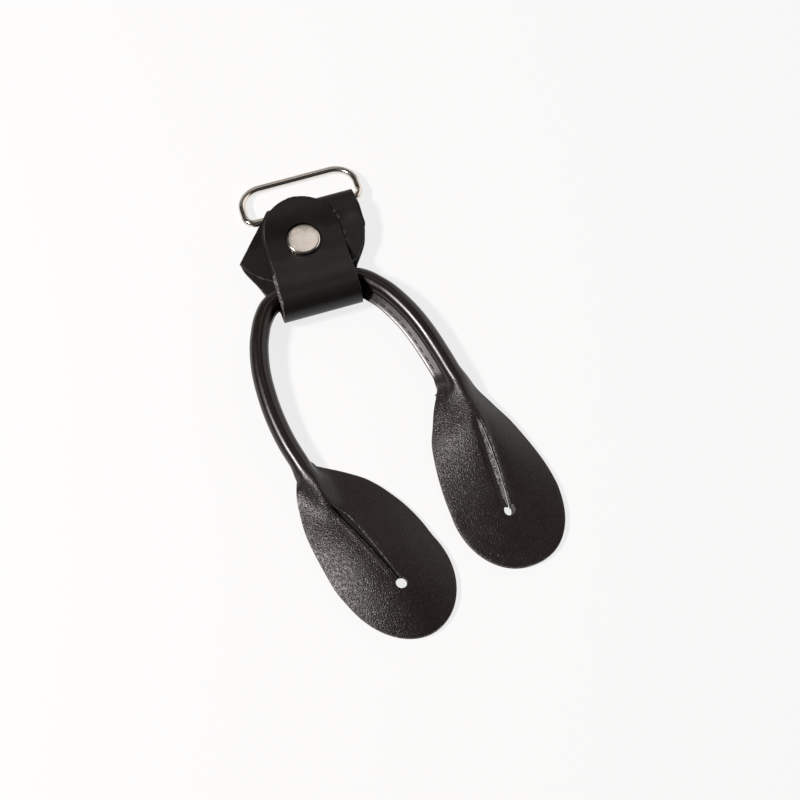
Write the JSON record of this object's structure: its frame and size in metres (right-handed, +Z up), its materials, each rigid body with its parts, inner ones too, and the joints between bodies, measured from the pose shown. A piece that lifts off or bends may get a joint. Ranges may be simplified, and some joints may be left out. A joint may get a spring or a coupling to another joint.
{
  "type": "leather braces button end",
  "caption": "Leather end for a pair of button-on braces: a riveted, folded hanger with a metal ring holds a rolled loop that opens into slit buttonhole tabs.",
  "frame": {"origin": "middle of the rivet's flat back face, which rests on the surface", "axes": "+Y from the tabs to the ring, along the hanger; +Z up out of the front of the hanger; +X to the right seen from the front"},
  "size_m": [0.0666, 0.1349, 0.0093],
  "materials": {
    "hanger_leather": "smooth black leather, satin",
    "loop_leather": "fine-grained black leather, soft sheen",
    "polished_metal": "polished nickel plate",
    "core_cord": "matt cotton cord",
    "seam_thread": "waxed black thread"
  },
  "bodies": {
    "hanger": {"hanger_strap": "hanger_leather", "rivet_cap": "polished_metal", "rivet_post": "polished_metal"},
    "ring": {"ring": "polished_metal"},
    "loop": {"roll_leather": "loop_leather", "roll_core": "core_cord", "seam_thread_upper": "seam_thread", "seam_thread_lower": "seam_thread"},
    "left_tab": {"left_tab": "loop_leather"},
    "right_tab": {"right_tab": "loop_leather"}
  },
  "joints": [
    {"name": "ring_swing", "type": "hinge", "parent": "hanger", "child": "ring", "pos_m": [0.0029, 0.0096, 0.00275], "axis": [1, 0, 0], "range_deg": [0, 150]},
    {"name": "loop_swing", "type": "hinge", "parent": "hanger", "child": "loop", "pos_m": [0, -0.0144, 0.0048], "axis": [-1, 0, 0], "range_deg": [0, 20]},
    {"name": "left_tab_flex", "type": "hinge", "parent": "loop", "child": "left_tab", "pos_m": [-0.01742, -0.06422, 0.0035], "axis": [-0.9107, -0.4131, 0], "range_deg": [0, 45]},
    {"name": "right_tab_flex", "type": "hinge", "parent": "loop", "child": "right_tab", "pos_m": [0.0269, -0.05133, 0.0035], "axis": [-0.9998, -0.0209, 0], "range_deg": [0, 45]}
  ]
}
